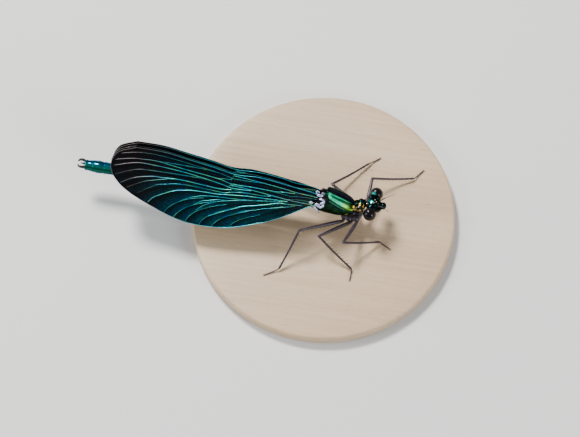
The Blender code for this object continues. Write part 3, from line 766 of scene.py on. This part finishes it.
def make_head(skins):
    """Head, brow, face, jaws and ocelli, then an eye and an antenna on each side."""
    place = head_frame()
    forward, left, up = (place.to_3x3() @ Vector(axis) for axis in AXES)
    axes = (forward, up, left)
    skin, brow, face, mouth, dots = (Shape() for count in range(5))
    rings = []
    for offset, deep, high, ahead, lift in smooth_rows(HEAD_STATIONS, 56):
        rings.append(oval(place @ Vector((ahead, offset, lift)), forward, up, deep, high, 48, 2.4))
    skin.rings(rings)
    add_balls(brow, place, axes, BROW_BALLS)
    add_balls(face, place, axes, FACE_BALLS)
    add_balls(mouth, place, axes, JAW_BALLS)
    add_balls(dots, place, (forward, left, up), OCELLI)
    head = skin.piece("head_skin", skins["head"], "metallic_chitin")
    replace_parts(head, "head")
    brow.piece("head_brow", skins["head"], "metallic_chitin")
    lips = face.piece("face_plates", skins["face"], "metallic_chitin")
    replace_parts(lips, "mouthparts")
    mouth.piece("jaws", skins["black"], "black_chitin")
    dots.piece("ocelli", skins["ocelli"], "compound_eye")
    for side, sign in SIDES:
        globe = Shape()
        centre = place @ Vector((0.0, sign * EYE_APART / 2, 0.0))
        globe.ball(centre, (forward, up, left * sign), EYE_SIZES, 64, 40)
        eye = globe.piece("eye_" + side + "_globe", skins["eye"], "compound_eye")
        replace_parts(eye, "eye_" + side)
        feeler = Shape()
        foot, *path = [place @ Vector(point) for point in mirrored((FEELER_FOOT, *FEELER_PATH), sign)]
        feeler.ball(foot, axes, (0.17, 0.17, 0.17), 16, 10)
        feeler.tube(path, FEELER_RADII, 12)
        horn = feeler.piece("antenna_" + side + "_fine", skins["black"], "black_chitin")
        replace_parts(horn, "antenna_" + side)


# Thorax

def make_prothorax(skins):
    """Three lobes: a collar, a humped middle and a flared hind rim, with a thin neck."""
    body = Shape()
    rings = []
    for x, y, z, wide, tall in smooth_rows(PROTHORAX_STATIONS, 66):
        rings.append(oval((x, y, z), AXES[1], AXES[2], wide, tall, 40, 2.2))
    body.rings(rings)
    for sign in PAIR:
        body.ball((2.5, 0.9 + sign * 0.42, 5.16), AXES, (0.36, 0.34, 0.3), 24, 14)
    skin = body.piece("prothorax_skin", skins["prothorax"], "metallic_chitin")
    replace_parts(skin, "prothorax")


def thorax_relief(x, y, z, share):
    """Height of the ridge along the back and of the sutures down the sides."""
    depth = (x - RIDGE_START[0]) * -math.sin(THORAX_SLOPE) + (z - RIDGE_START[1]) * -math.cos(THORAX_SLOPE)
    relief = 0.0
    if x > RIDGE_END_X:
        relief += RIDGE_HEIGHT * bell(share, RIDGE_WIDTH)
    for place in SUTURES:
        relief -= SUTURE_DEPTH * bell(depth - place, SUTURE_WIDTH)
        relief += LIP_HEIGHT * bell(depth - place - LIP_BELOW, LIP_WIDTH)
    return relief


def make_thorax(skins):
    """The thorax with its ridge and sutures, and the lumps and plates at wings and hips."""
    body = Shape()
    rings = []
    around = 90
    for x, top, bottom, half_width in smooth_rows(THORAX_STATIONS, 150):
        ring = []
        middle = (top + bottom) / 2
        for spot in range(2 * around):
            share = abs(spot - around) / around
            sign = -1 if spot < around else 1
            across, rise = smooth_path(THORAX_HALF, share)
            y = sign * half_width * across
            z = bottom + (top - bottom) * rise
            out = Vector((0, y, z - middle)).normalized()
            relief = thorax_relief(x, y, z, share)
            ring.append((x, BODY_Y + y + out.y * relief, z + out.z * relief))
        rings.append(ring)
    body.rings(rings)
    skin = body.piece("thorax_skin", skins["thorax"], "metallic_chitin")
    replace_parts(skin, "thorax")
    joints, plates, hips = Shape(), Shape(), Shape()
    for level, root, scale in WING_ROOTS.values():
        outer = Vector(root)
        inner = Vector((root[0] + 1.1, BODY_Y + (root[1] - BODY_Y) * 0.45, root[2] - 1.1))
        near = wing_spots(level, root, scale, *np.array(((0.35,), (-0.2,), (0.0,))))[0]
        path = [inner, inner.lerp(outer, 0.5), inner.lerp(outer, 0.85), Vector(near)]
        joints.tube(path, (0.62, 0.52, 0.36, 0.16), 20)
    add_plates(plates, joints)
    for spot, sizes in HIP_LUMPS:
        hips.ball(spot, AXES, sizes, 24, 14)
    joints.piece("wing_joints", skins["joint"], "black_chitin")
    hips.piece("hips", skins["leg"], "black_chitin")
    plates.piece("wing_base_plates", skins["plates"], "metallic_chitin")


def add_plates(plates, joints):
    """Pale plates at the fore wings' roots, a curled one on a dark cushion and a bar down the side; their
    paleness is partly a painted highlight.
    """
    axes = (AXES[0], WING_CHORD, WING_FACE)
    for wing, along, across, long, wide in PLATE_SPOTS:
        spot = wing_spots(*WING_ROOTS[wing], *np.array(((along,), (across,), (0.12,))))[0]
        plates.ball(spot, axes, (long, wide, 0.12), 24, 14)
    near = WING_ROOTS["wing_fore_right"]
    cushion = wing_spots(*near, *np.array(((-0.25,), (-0.66,), (-0.3,))))[0]
    joints.ball(cushion, axes, (0.72, 0.86, 0.42), 28, 16)
    curl = np.array(smooth_rows(PLATE_CURL, CURL_STEPS))
    path = wing_spots(*near, curl[:, 0], curl[:, 1], np.full(len(curl), 0.1))
    sizes = 0.17 * np.interp(np.arange(len(curl)), (0, 4, 26, CURL_STEPS), (0.5, 1, 1, 0.6))
    plates.tube(path.tolist(), sizes.tolist(), 14)
    plates.tube(SIDE_BAR, (0.16, 0.24, 0.23, 0.13), 16)


# Abdomen

def abdomen_point(share):
    start, end = Vector(ABDOMEN_START), Vector(ABDOMEN_END)
    point = start.lerp(end, share)
    point.z -= ABDOMEN_SAG * math.sin(math.pi * share)
    return point


def make_abdomen(skins):
    """Each segment slips into the one before; its hind rim is a fine raised band."""
    total = sum(SEGMENT_LENGTHS)
    reach = 0.0
    for number, (length, width) in enumerate(zip(SEGMENT_LENGTHS, SEGMENT_WIDTHS), start=1):
        before = SEGMENT_WIDTHS[max(number - 2, 0)]
        after = SEGMENT_WIDTHS[min(number, len(SEGMENT_WIDTHS) - 1)]
        front, back = (before + width) / 2, (after + width) / 2
        rims = ((-0.22, front * 0.86), (0.0, front * 0.93),
                (min(0.35, length * 0.2), (before + width * 2) / 3 * 0.99), (length * 0.5, width),
                (length - min(0.4, length * 0.22), (after + width * 2) / 3),
                (length - 0.1, back * 1.02), (length - 0.02, back * 1.03), (length, back * 0.98))
        if number == 1:
            rims = ((-0.55, 1.2),) + rims
        rings = []
        for near, far in zip(rims, rims[1:]):
            steps = max(2, int((far[0] - near[0]) / 0.16))
            for step in range(steps):
                share = step / steps
                rings.append((near[0] + (far[0] - near[0]) * share,
                              near[1] + (far[1] - near[1]) * eased(share)))
        rings.append(rims[-1])
        loops = []
        for place, size in rings:
            centre = abdomen_point((reach + place) / total)
            loop = oval(centre, AXES[1], AXES[2], size / 2, size / 2 * SEGMENT_HEIGHT, SEGMENT_SIDES)
            for index, point in enumerate(loop):
                angle = 2 * math.pi * (index + 0.5) / SEGMENT_SIDES
                keel = KEEL_HEIGHT * bell(angle - math.pi / 2, KEEL_WIDTH)
                seam = SEAM_DEPTH * bell(math.sin(angle) - SEAM_LEVEL, SEAM_WIDTH)
                loop[index] = point + (point - centre).normalized() * (keel - seam)
            loops.append(loop)
        shape = Shape()
        shape.rings(loops)
        name = "abdomen_%d" % number
        skin = shape.piece(name + "_skin", skins["abdomen"], "metallic_chitin")
        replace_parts(skin, name)
        reach += length


def make_tail_hooks(skins):
    """Upper hooks with teeth on their outer side, and plain lower ones."""
    tip = abdomen_point(1.0)
    for kind, (course, radii, teeth) in TAIL_HOOKS.items():
        for side, sign in SIDES:
            name = kind + "_" + side
            hook = Shape()
            hook.tube([tip + Vector(point) for point in mirrored(course, sign)], radii, 14)
            for step in range(teeth):
                spot = tip + Vector((-0.4 - 0.1 * step, sign * (0.82 - 0.02 * step), 0.41))
                hook.tube([spot - Vector((0, sign * 0.12, 0)), spot], (0.04, 0.008), 6)
            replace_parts(hook.piece(name + "_fine", skins["black"], "black_chitin"), name)


# Wings

def resample(points, count):
    """As many points as asked for, evenly spread along a line."""
    lengths = travelled(points)
    share = np.linspace(0, lengths[-1], count)
    return np.stack([np.interp(share, lengths, points[:, axis]) for axis in range(points.shape[1])], 1)


def wing_lines():
    """Rows from root to rim, as along and across distances in the wing's plane."""
    rim = np.array(smooth_rows(WING_RIM, RIM_STEPS))
    courses = [resample(np.array(smooth_rows(course, 200)), VEIN_STEPS + 1) for course in GUIDES]
    ends = [int(np.argmin(np.linalg.norm(rim - line[-1], axis=1))) for line in courses]
    t = np.linspace(0, 1, VEIN_STEPS + 1)[:, None]
    lines = []
    for number in range(len(courses) - 1):
        for step in range(ROWS_A_COURSE + (number == len(courses) - 2)):
            share = step / ROWS_A_COURSE
            line = courses[number] * (1 - share) + courses[number + 1] * share
            place = ends[number] * (1 - share) + ends[number + 1] * share
            goal = np.array([np.interp(place, np.arange(len(rim)), rim[:, axis]) for axis in (0, 1)])
            lines.append(line + (goal - line[-1]) * t ** 4)
    return np.array(lines)


def wing_spots(level, root, scale, along, across, height):
    """Points of a wing, from its own plane to the animal's measures."""
    if level == FAR_FORE_LEVEL:
        drop = FAR_EDGE_DROP * np.clip(1 - along / FAR_EDGE_REACH, 0.0, 1.0) ** 1.3
        across = across - drop * np.clip((across + ROOT_CHORD - ROOT_TOP) / ROOT_CHORD, 0.0, 1.0)
    forward, chord, face = np.array((AXES[0], WING_CHORD, WING_FACE))
    stack_root = np.array(WING_STACK_ROOT) - face * WING_PITCH * level
    stack_root[0] = root[0]
    blend = eased(np.clip(along / WING_JOIN, 0.0, 1.0))[..., None]
    base = np.array(root) * (1 - blend) + stack_root * blend
    back = (along * math.cos(WING_RAKE) - across * math.sin(WING_RAKE)) * scale
    up_chord = (along * math.sin(WING_RAKE) + across * math.cos(WING_RAKE)) * scale
    return base - forward * back[..., None] + chord * up_chord[..., None] + face * height[..., None]


def wing_wave(along, across):
    """A slow swell of the whole wing, so that light moves over it."""
    return WAVE_HEIGHT * np.sin(along * 0.35 + across * 0.5) * np.clip(along / 6.0, 0, 1)


def add_vein(shape, place, course, radius):
    """A tapered tube along a vein's course; even its thin end stands proud of the pleats."""
    line = np.array(smooth_rows(course, 80))
    line = resample(line, max(4, int(travelled(line)[-1] / 0.25)))
    spots = wing_spots(*place, line[:, 0], line[:, 1], wing_wave(line[:, 0], line[:, 1]))
    shape.strand(spots, radius, 0.85)


def net_starts(lines):
    """The step from which there is room for each row's fine vein between its neighbours."""
    starts = []
    for row in range(len(lines)):
        above, below = lines[max(row - NET_ROWS, 0)], lines[min(row + NET_ROWS, len(lines) - 1)]
        room = np.linalg.norm(above - below, axis=1) > NET_ROOM
        bare = row < ROWS_A_COURSE or row % NET_ROWS or not room.any()
        if row and row % ROWS_A_COURSE == 0 and row < len(lines) - 1:
            bare = False
            room[3:] = True
        starts.append(VEIN_STEPS if bare else int(np.argmax(room)))
    return starts


def make_wing(name, skins, lines, seed):
    """A pleated membrane, and on it the rim, the veins and the fine net as tubes."""
    place = WING_ROOTS[name]
    rows = len(lines)
    along, across = lines[..., 0], lines[..., 1]
    spread = np.linalg.norm(np.roll(lines, -HALF_COURSE, 0) - np.roll(lines, HALF_COURSE, 0), axis=2)
    spread[:HALF_COURSE] = spread[HALF_COURSE]
    spread[-HALF_COURSE:] = spread[-HALF_COURSE - 1]
    depth = np.minimum(PLEAT, 0.05 * spread) * np.clip(along / 2.5, 0.0, 1.0)
    pleat = np.cos(np.arange(rows) * 2 * math.pi / ROWS_A_COURSE)[:, None]
    height = pleat * depth + wing_wave(along, across)
    sheet = Shape()
    top = wing_spots(*place, along, across, height + MEMBRANE_HALF)
    low = wing_spots(*place, along, across, height - MEMBRANE_HALF)
    count = VEIN_STEPS + 1
    upper = sheet.grid(top.tolist())
    lower = sheet.grid(low[:, ::-1].tolist())
    rim = [(0, step) for step in range(count)] + [(row, count - 1) for row in range(1, rows)]
    rim += [(rows - 1, step) for step in range(count - 2, -1, -1)]
    rim += [(row, 0) for row in range(rows - 2, 0, -1)]
    for here, there in zip(rim, rim[1:] + rim[:1]):
        a = upper + here[0] * count + here[1]
        b = upper + there[0] * count + there[1]
        c = lower + there[0] * count + count - 1 - there[1]
        d = lower + here[0] * count + count - 1 - here[1]
        sheet.faces.append((b, a, d, c))
    membrane = sheet.piece(name + "_membrane", skins["wing"], "wing_membrane")
    membrane.data.set_sharp_from_angle(angle=math.radians(60))
    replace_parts(membrane, name)
    looks = {
        "fan": np.clip((-across - 2.6) / 2.2, 0.0, 1.0),
        # The band: a painted reflection, lighter across one side of each pleat in the fan
        "band": np.clip(np.arange(rows) % ROWS_A_COURSE / ROWS_A_COURSE * 1.4 - 0.4, 0, 1)[:, None]
        * np.clip((-across - 2.8) / 2.5, 0.0, 1.0) * np.clip((spread - 0.35) / 0.5, 0.0, 1.0),
    }
    for look, values in looks.items():
        tones = np.concatenate((values.ravel(), values[:, ::-1].ravel())).astype(np.float32)
        membrane.data.attributes.new(look, "FLOAT", "POINT").data.foreach_set("value", tones)

    spine = wing_spots(*place, along, across, height)
    starts = net_starts(lines)
    edge, strong, weak, net = Shape(), Shape(), Shape(), Shape()
    for course in STRONG_VEINS:
        add_vein(strong, place, course, STRONG_RADIUS)
    for course in WEAK_VEINS:
        add_vein(weak, place, course, WEAK_RADIUS)
    for row in range(rows):
        last = count
        if row % ROWS_A_COURSE == 0 and row // ROWS_A_COURSE in FAN_GUIDES:
            last = int(np.argmax(across[row] < FAN_ARC))
            weak.strand(spine[row, last - 1:], FAN_RADIUS, 0.95)
        line = spine[row, starts[row]:last]
        if len(line) > 3:
            net.strand(line, NET_RADIUS, 0.6, 4)
    front = net if place[0] in HIND_LEVELS else edge
    front.strand(spine[0], FRONT_RADIUS, 0.55)
    edge.strand(spine[-1], REAR_RADIUS, 0.65)
    rim_sizes = np.interp(np.arange(rows), (0, rows * 0.4, rows - 1), RIM_RADII)
    edge.tube(spine[:, -1].tolist(), rim_sizes.tolist(), 6)
    add_cross_veins(net, spine, starts, seed)
    edge.piece(name + "_edge", skins["edge"], "wing_membrane")
    strong.piece(name + "_veins", skins["vein"], "wing_membrane")
    weak.piece(name + "_between", skins["between"], "wing_membrane")
    net.piece(name + "_net", skins["net"], "wing_membrane")


def add_cross_veins(shape, spine, starts, seed):
    """Short bars between neighbouring veins, a little uneven."""
    draw = random.Random(seed)
    rows = len(spine)
    for row in range(rows - 1):
        if starts[row] >= VEIN_STEPS:
            continue
        reach = travelled(spine[row])
        travel = CROSS_VEIN_SPACING * draw.random() + reach[min(starts[row] + 2, VEIN_STEPS)]
        while travel < reach[-1] - 0.1:
            step = int(np.searchsorted(reach, travel)) - 1
            other = row + 1
            while other < rows - 1 and starts[other] > step:
                other += 1
            part = (travel - reach[step]) / (reach[step + 1] - reach[step])
            middle = (row + other) // 2
            a, b, c = (spine[line][step] * (1 - part) + spine[line][step + 1] * part
                       for line in (row, other, middle))
            if np.linalg.norm(a - b) > CROSS_VEIN_LEAST:
                points = np.array([a, b] if middle in (row, other) else [a, c, b])
                shape.strand(points, NET_RADIUS, 1.0, 3)
            travel += CROSS_VEIN_SPACING * (0.75 + 0.5 * draw.random())


# Legs

def make_leg(name, skins, seed):
    """Hip, thigh, shin and a three-jointed foot with claws, and two rows of long bristles."""
    hip, thigh, knee, shin, tip = (Vector(point) for point in LEG_POINTS[name])
    ankle = Vector((shin.x, shin.y, ANKLE_HEIGHT))
    toe = Vector((tip.x, tip.y, TOE_HEIGHT))
    leg = Shape()
    drop = hip - UP * 0.45
    leg.tube([hip + UP * 0.35, hip, drop, drop.lerp(thigh, 0.45), drop.lerp(thigh, 0.62)],
             (0.42, 0.46, 0.43, 0.35, 0.24), 20)
    leg.tube([drop.lerp(thigh, 0.5), drop.lerp(thigh, 0.75), thigh, thigh.lerp(knee, 0.05)],
             (0.2, 0.27, 0.24, 0.2), 20)
    shares = (0.0, 0.04, 0.15, 0.4, 0.7, 0.9, 0.97, 1.0)
    leg.tube([thigh.lerp(knee, share) for share in shares],
             (0.22, 0.27, 0.29, 0.28, 0.24, 0.21, 0.24, 0.18), 20)
    leg.ball(knee, AXES, (0.19, 0.19, 0.19), 18, 12)
    bow = (ankle - knee).cross(UP).cross(ankle - knee).normalized() * -SHIN_BOW
    shares = (0.0, 0.05, 0.2, 0.4, 0.6, 0.8, 0.97, 1.0)
    leg.tube([knee.lerp(ankle, share) + bow * math.sin(math.pi * share) for share in shares],
             (0.16, 0.19, 0.18, 0.17, 0.155, 0.15, 0.17, 0.11), 18)
    joints = [ankle, ankle.lerp(toe, 0.2) - UP * 0.1, ankle.lerp(toe, 0.5) - UP * 0.08, toe]
    for near, far in zip(joints, joints[1:]):
        leg.tube([near.lerp(far, share) for share in (0.0, 0.2, 0.8, 1.0)], (0.07, 0.09, 0.1, 0.075), 14)
    ahead = (toe - joints[2]).normalized()
    side = ahead.cross(UP).normalized()
    for sign in PAIR:
        leg.tube([toe, toe + ahead * 0.18 + side * sign * 0.1 + UP * 0.04,
                  toe + ahead * 0.32 + side * sign * 0.16 - UP * 0.06], (0.05, 0.04, 0.012), 8)
    skin = leg.piece("leg_%s_skin" % name, skins["leg"], "black_chitin")
    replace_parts(skin, *["leg_%s_%s" % (name, piece) for piece in LEG_PIECES])
    draw = random.Random(seed)
    hairs = Shape()
    parts = ((thigh, knee, ankle - knee, 9, 0.75), (knee, ankle, thigh - knee, 12, 0.95))
    for near, far, bend, count, long in parts:
        way = (far - near).normalized()
        inner = (bend - way * bend.dot(way)).normalized()
        wide = way.cross(inner)
        for row in PAIR:
            for index in range(count):
                spot = near.lerp(far, (index + 1.0) / (count + 1.2))
                lean = (inner * 0.75 + wide * row * 0.65 + way * (0.55 + 0.2 * draw.random())).normalized()
                reach = long * (0.8 + 0.3 * draw.random()) * (1.0 - 0.35 * abs(index / count - 0.4))
                tip_spot = spot + lean * (0.12 + reach)
                if tip_spot.z > 0.03:
                    hairs.tube([spot + lean * 0.1, spot + lean * (0.12 + reach * 0.5), tip_spot],
                               (0.026, 0.018, 0.005), 5)
    hairs.piece("leg_%s_bristles" % name, skins["black"], "black_chitin")


# Base, floor, light and camera

def make_base(skins):
    """A turned disc with a rounded upper edge and a fine groove round its side."""
    inner = BASE_RADIUS - BASE_EDGE
    middle = BASE_TOP * GROOVE_SHARE
    profile = [(inner, 0.0), (BASE_RADIUS - 0.1, 0.1), (BASE_RADIUS, BASE_EDGE)]
    profile += [(BASE_RADIUS, middle - BASE_GROOVE), (BASE_RADIUS - BASE_GROOVE, middle),
                (BASE_RADIUS, middle + BASE_GROOVE)]
    for step in range(9):
        angle = math.pi / 2 * step / 8
        rise = BASE_EDGE * math.sin(angle)
        profile.append((inner + BASE_EDGE * math.cos(angle), BASE_TOP - BASE_EDGE + rise))
    profile.append((BASE_RADIUS - 3, BASE_TOP))
    turns = [2 * math.pi * step / BASE_SIDES for step in range(BASE_SIDES)]
    shape = Shape()
    shape.rings([[(radius * math.cos(turn) - BASE_AHEAD, radius * math.sin(turn), height - BASE_TOP)
                  for turn in turns] for radius, height in profile])
    disc = shape.piece("stand_base_disc", skins["base"], "display_base")
    disc.data.set_sharp_from_angle(angle=math.radians(50))
    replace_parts(disc, "stand_base")


def make_floor(skins):
    bpy.ops.mesh.primitive_plane_add(size=FLOOR_SIZE, location=(0, 0, -FLOOR_DROP))
    floor = bpy.context.object
    floor.name = "floor"
    floor.data.materials.append(skins["floor"])


def add_softbox(name, place, size, power, tint):
    lamp = bpy.data.lights.new(name, "AREA")
    lamp.shape = "DISK"
    lamp.size = size
    lamp.energy = power
    lamp.color = tint
    obj = bpy.data.objects.new(name, lamp)
    obj.location = place
    obj.rotation_euler = (Vector(place) - Vector(LIGHT_AIM)).to_track_quat("Z", "Y").to_euler()
    bpy.context.scene.collection.objects.link(obj)


def make_light():
    world = bpy.data.worlds.new("studio")
    bpy.context.scene.world = world
    world.use_nodes = True
    sky = world.node_tree.nodes["Background"].inputs
    sky["Color"].default_value = SKY_COLOUR
    sky["Strength"].default_value = SKY_STRENGTH
    for softbox in SOFTBOXES:
        add_softbox(*softbox)


def make_camera():
    """A long lens at the photograph's angle, its frame set on the same spots."""
    turn = math.radians(CAMERA_TURN)
    high = math.radians(CAMERA_HEIGHT)
    right = Vector((math.cos(turn), math.sin(turn), 0))
    back = Vector((math.sin(turn) * math.cos(high), -math.cos(turn) * math.cos(high), math.sin(high)))
    up = back.cross(right)
    foot = Vector(at((0, 0, 0)))
    shift = right * (PHOTO_SIZE[0] / 2 - PHOTO_FOOT[0]) + up * (PHOTO_FOOT[1] - PHOTO_SIZE[1] / 2)
    middle = foot + shift * MM / PHOTO_SCALE
    camera = bpy.data.cameras.new("camera")
    camera.sensor_width = SENSOR_WIDTH
    camera.lens = camera.sensor_width * CAMERA_AWAY / (PHOTO_SIZE[0] / PHOTO_SCALE * MM)
    obj = bpy.data.objects.new("camera", camera)
    obj.location = middle + back * CAMERA_AWAY
    obj.rotation_euler = back.to_track_quat("Z", "Y").to_euler()
    bpy.context.scene.collection.objects.link(obj)
    bpy.context.scene.camera = obj


def make_skins():
    green_edge = (0.15, 0.75, 1.0)
    head_edge = (0.05, 0.26, 0.32)
    return {
        "head": metal_skin("head_metal", (0.0, 0.002, 0.003), (0.0, 0.012, 0.012), head_edge, 9.0,
                           tint=head_painted_reflection, pits=0.03),
        "face": metal_skin("face_metal", (0.001, 0.006, 0.006), (0.002, 0.018, 0.014), (0.2, 0.4, 0.4), 6.0,
                           pits=0.03),
        "prothorax": metal_skin("prothorax_metal", (0.0, 0.003, 0.003), (0.002, 0.035, 0.022), head_edge, 8.0,
                                tint=prothorax_painted_glints),
        "thorax": metal_skin("thorax_metal", (0.0, 0.08, 0.034), (0.0, 0.17, 0.08), (0.05, 0.4, 0.45), 9.0,
                             thorax_lines, thorax_tint_and_painted_shade, 0.15),
        "abdomen": metal_skin("abdomen_metal", (0.0, 0.14, 0.15), (0.0, 0.30, 0.24), green_edge, 10.0,
                              tint=abdomen_colour_sheen_and_shade, pits=0.15),
        "black": black_skin("black_cuticle", (0.012, 0.011, 0.012), (0.035, 0.028, 0.03)),
        "joint": black_skin("joint_cuticle", (0.002, 0.002, 0.003), (0.006, 0.005, 0.007), 0.14, 0.048),
        "leg": black_skin("leg_cuticle", (0.019, 0.012, 0.018), (0.056, 0.041, 0.056)),
        "eye": eye_skin(),
        "ocelli": ocellus_skin(),
        "wing": wing_skin(),
        # One vein paint at three brightnesses: painted glint
        "vein": vein_skin("vein_metal", 1.25),
        "between": vein_skin("between_metal", 0.6),
        "net": vein_skin("net_metal", 0.26),
        "edge": edge_skin(),
        "plates": pale_plate_highlight_skin(),
        "base": base_skin(),
        "floor": floor_skin(),
    }


skins = make_skins()
make_camera()
make_head(skins)
make_prothorax(skins)
make_thorax(skins)
make_abdomen(skins)
make_tail_hooks(skins)
lines = wing_lines()
for number, wing in enumerate(WING_ROOTS):
    make_wing(wing, skins, lines, WING_SEED + number)
for number, leg_name in enumerate(LEG_POINTS):
    make_leg(leg_name, skins, LEG_SEED + number)
make_base(skins)
make_floor(skins)
make_light()
